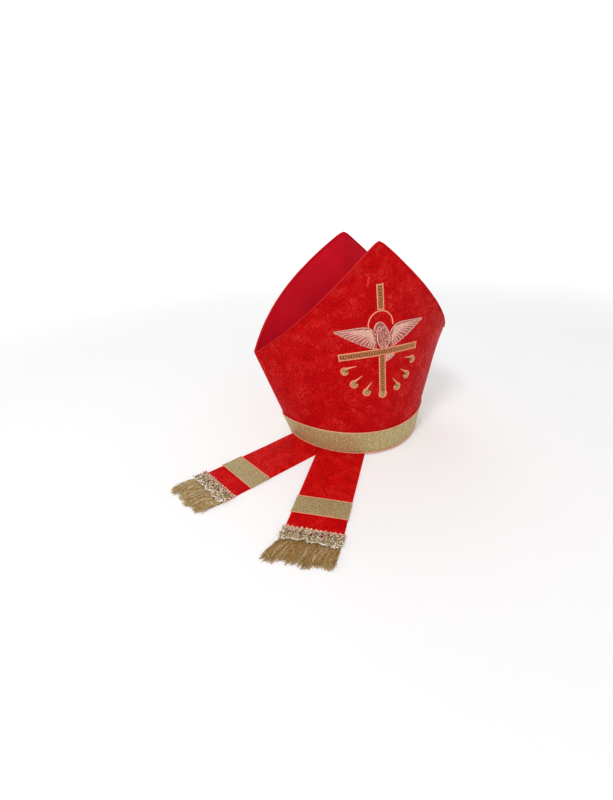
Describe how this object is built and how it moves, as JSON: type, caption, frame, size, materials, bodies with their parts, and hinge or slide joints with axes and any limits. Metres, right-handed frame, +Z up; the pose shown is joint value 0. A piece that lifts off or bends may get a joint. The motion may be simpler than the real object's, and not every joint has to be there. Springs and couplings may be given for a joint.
{
  "type": "bishop mitre",
  "caption": "Tall two-panelled ceremonial cap in red damask with a gold band, an embroidered cross and dove, and two fringed lappets laid flat.",
  "frame": {"origin": "on the surface it stands on, below the middle of the head opening", "axes": "+Z up, -Y towards the front panel, +X to the wearer's left"},
  "size_m": [0.4263, 0.3642, 0.2753],
  "materials": {
    "damask": "red damask with a matt ground and satin flowers",
    "lining": "smooth crimson lining",
    "galloon": "woven metallic gold braid",
    "galloon_edge": "salmon gold cord along the braid",
    "gold_embroidery": "salmon gold satin stitch",
    "silver_embroidery": "silver pink thread",
    "bead_lace": "lace of small silver and gold beads with dark red stones",
    "fringe": "antique gold bullion fringe"
  },
  "bodies": {
    "root": {"front_panel": "damask", "back_panel": "damask", "crown_lining": "lining", "headband_galloon": "galloon", "headband_lower_cord": "galloon_edge", "headband_upper_cord": "galloon_edge", "cross_upper_bar": "gold_embroidery", "cross_crossbar": "gold_embroidery", "cross_lower_bar": "gold_embroidery", "halo": "gold_embroidery", "dove_body": "silver_embroidery", "dove_left_wing": "silver_embroidery", "dove_right_wing": "silver_embroidery", "dove_tail": "silver_embroidery", "flame_left_1": "gold_embroidery", "flame_left_2": "gold_embroidery", "flame_left_3": "gold_embroidery", "lappet_left": "damask", "lappet_left_galloon": "galloon", "lappet_left_bead_lace": "bead_lace", "lappet_left_fringe": "fringe", "flame_right_1": "gold_embroidery", "flame_right_2": "gold_embroidery", "flame_right_3": "gold_embroidery", "lappet_right": "damask", "lappet_right_galloon": "galloon", "lappet_right_bead_lace": "bead_lace", "lappet_right_fringe": "fringe"}
  },
  "joints": []
}
